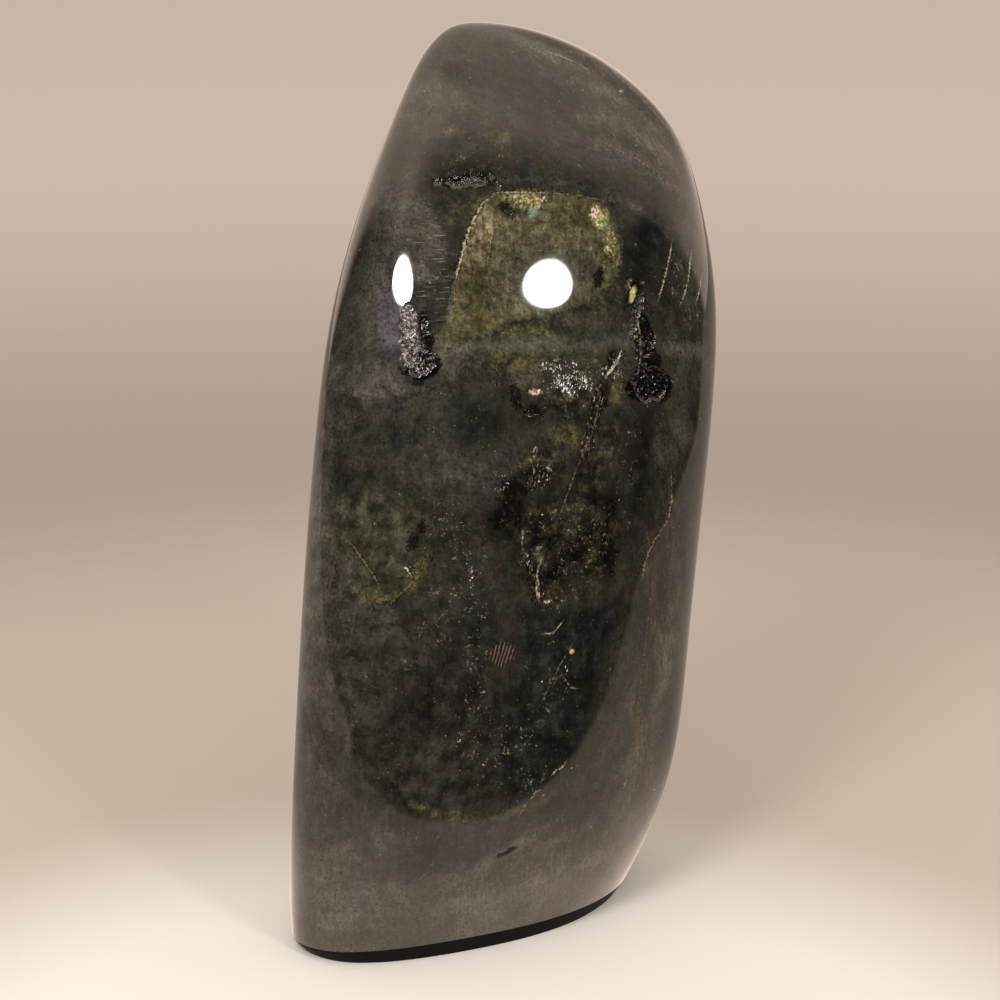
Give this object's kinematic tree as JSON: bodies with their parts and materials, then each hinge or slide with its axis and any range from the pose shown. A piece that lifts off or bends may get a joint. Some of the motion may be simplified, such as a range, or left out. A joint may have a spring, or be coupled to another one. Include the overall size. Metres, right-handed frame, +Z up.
{
  "type": "polished labradorite freeform",
  "caption": "Upright polished freeform of dark labradorite, leaning slightly, with rounded edges, a broad polished face and a flat sawn foot to stand on.",
  "frame": {"origin": "middle of the flat sawn foot, on the surface that the stone stands on", "axes": "+Z up along the stone's height; the broad polished face looks towards -Y and a little towards +X; +X is to the right of that face"},
  "size_m": [0.062, 0.0545, 0.1274],
  "materials": {
    "polished_labradorite": "high polish, dark grey-green with cloudy grey feldspar, olive-gold flashes and small open pits"
  },
  "bodies": {
    "root": {"labradorite_stone": "polished_labradorite"}
  },
  "joints": []
}
